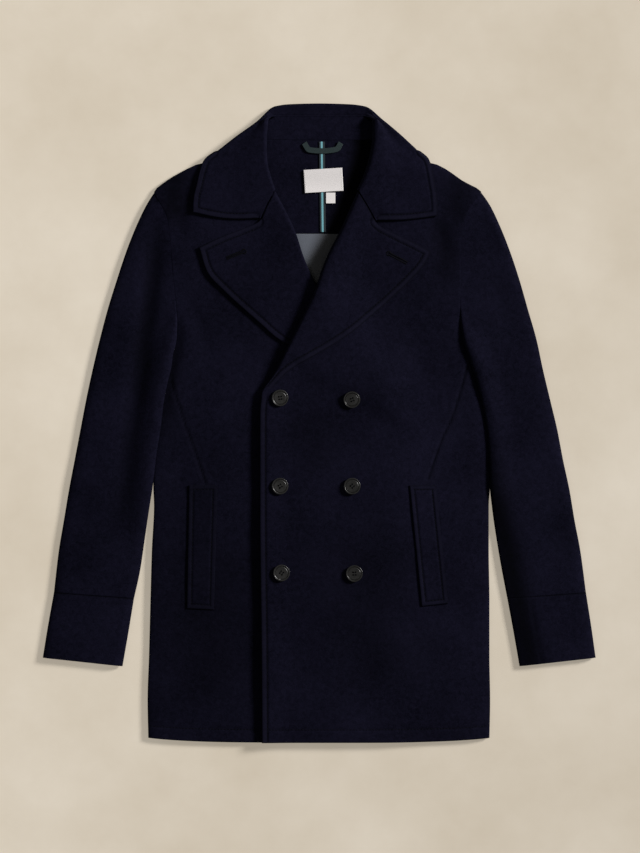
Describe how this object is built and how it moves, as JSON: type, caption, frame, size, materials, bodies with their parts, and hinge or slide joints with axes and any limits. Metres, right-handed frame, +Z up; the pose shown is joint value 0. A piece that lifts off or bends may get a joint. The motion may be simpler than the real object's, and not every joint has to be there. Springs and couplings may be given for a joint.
{
  "type": "pea coat, laid flat",
  "caption": "Double-breasted hip-length wool pea coat laid flat and buttoned, with wide notched lapels, broad collar, side welt pockets and cuffed sleeves.",
  "frame": {"origin": "centre of the bounding box, on the surface that the coat lies on", "axes": "+X to the viewer's right, +Y from the hem to the collar, +Z up off the surface"},
  "size_m": [0.773, 0.8934, 0.0243],
  "materials": {
    "wool_melton": "matt, softly napped",
    "satin_lining": "satin",
    "binding_tape": "matt",
    "loop_tape": "matt",
    "blank_label": "satin",
    "horn_button": "semi-gloss, horn-like"
  },
  "bodies": {
    "root": {"back": "wool_melton", "front_left": "wool_melton", "front_right": "wool_melton", "lapel_left": "wool_melton", "lapel_right": "wool_melton", "collar": "wool_melton", "collar_stand": "wool_melton", "back_facing": "wool_melton", "lining": "satin_lining", "centre_tape": "binding_tape", "neck_label": "blank_label", "size_label": "blank_label", "hanger_loop": "loop_tape", "sleeve_left": "wool_melton", "cuff_left": "wool_melton", "sleeve_right": "wool_melton", "cuff_right": "wool_melton", "welt_left": "wool_melton", "welt_right": "wool_melton", "button_left_top": "horn_button", "button_left_middle": "horn_button", "button_left_bottom": "horn_button", "button_right_top": "horn_button", "button_right_middle": "horn_button", "button_right_bottom": "horn_button"}
  },
  "joints": []
}
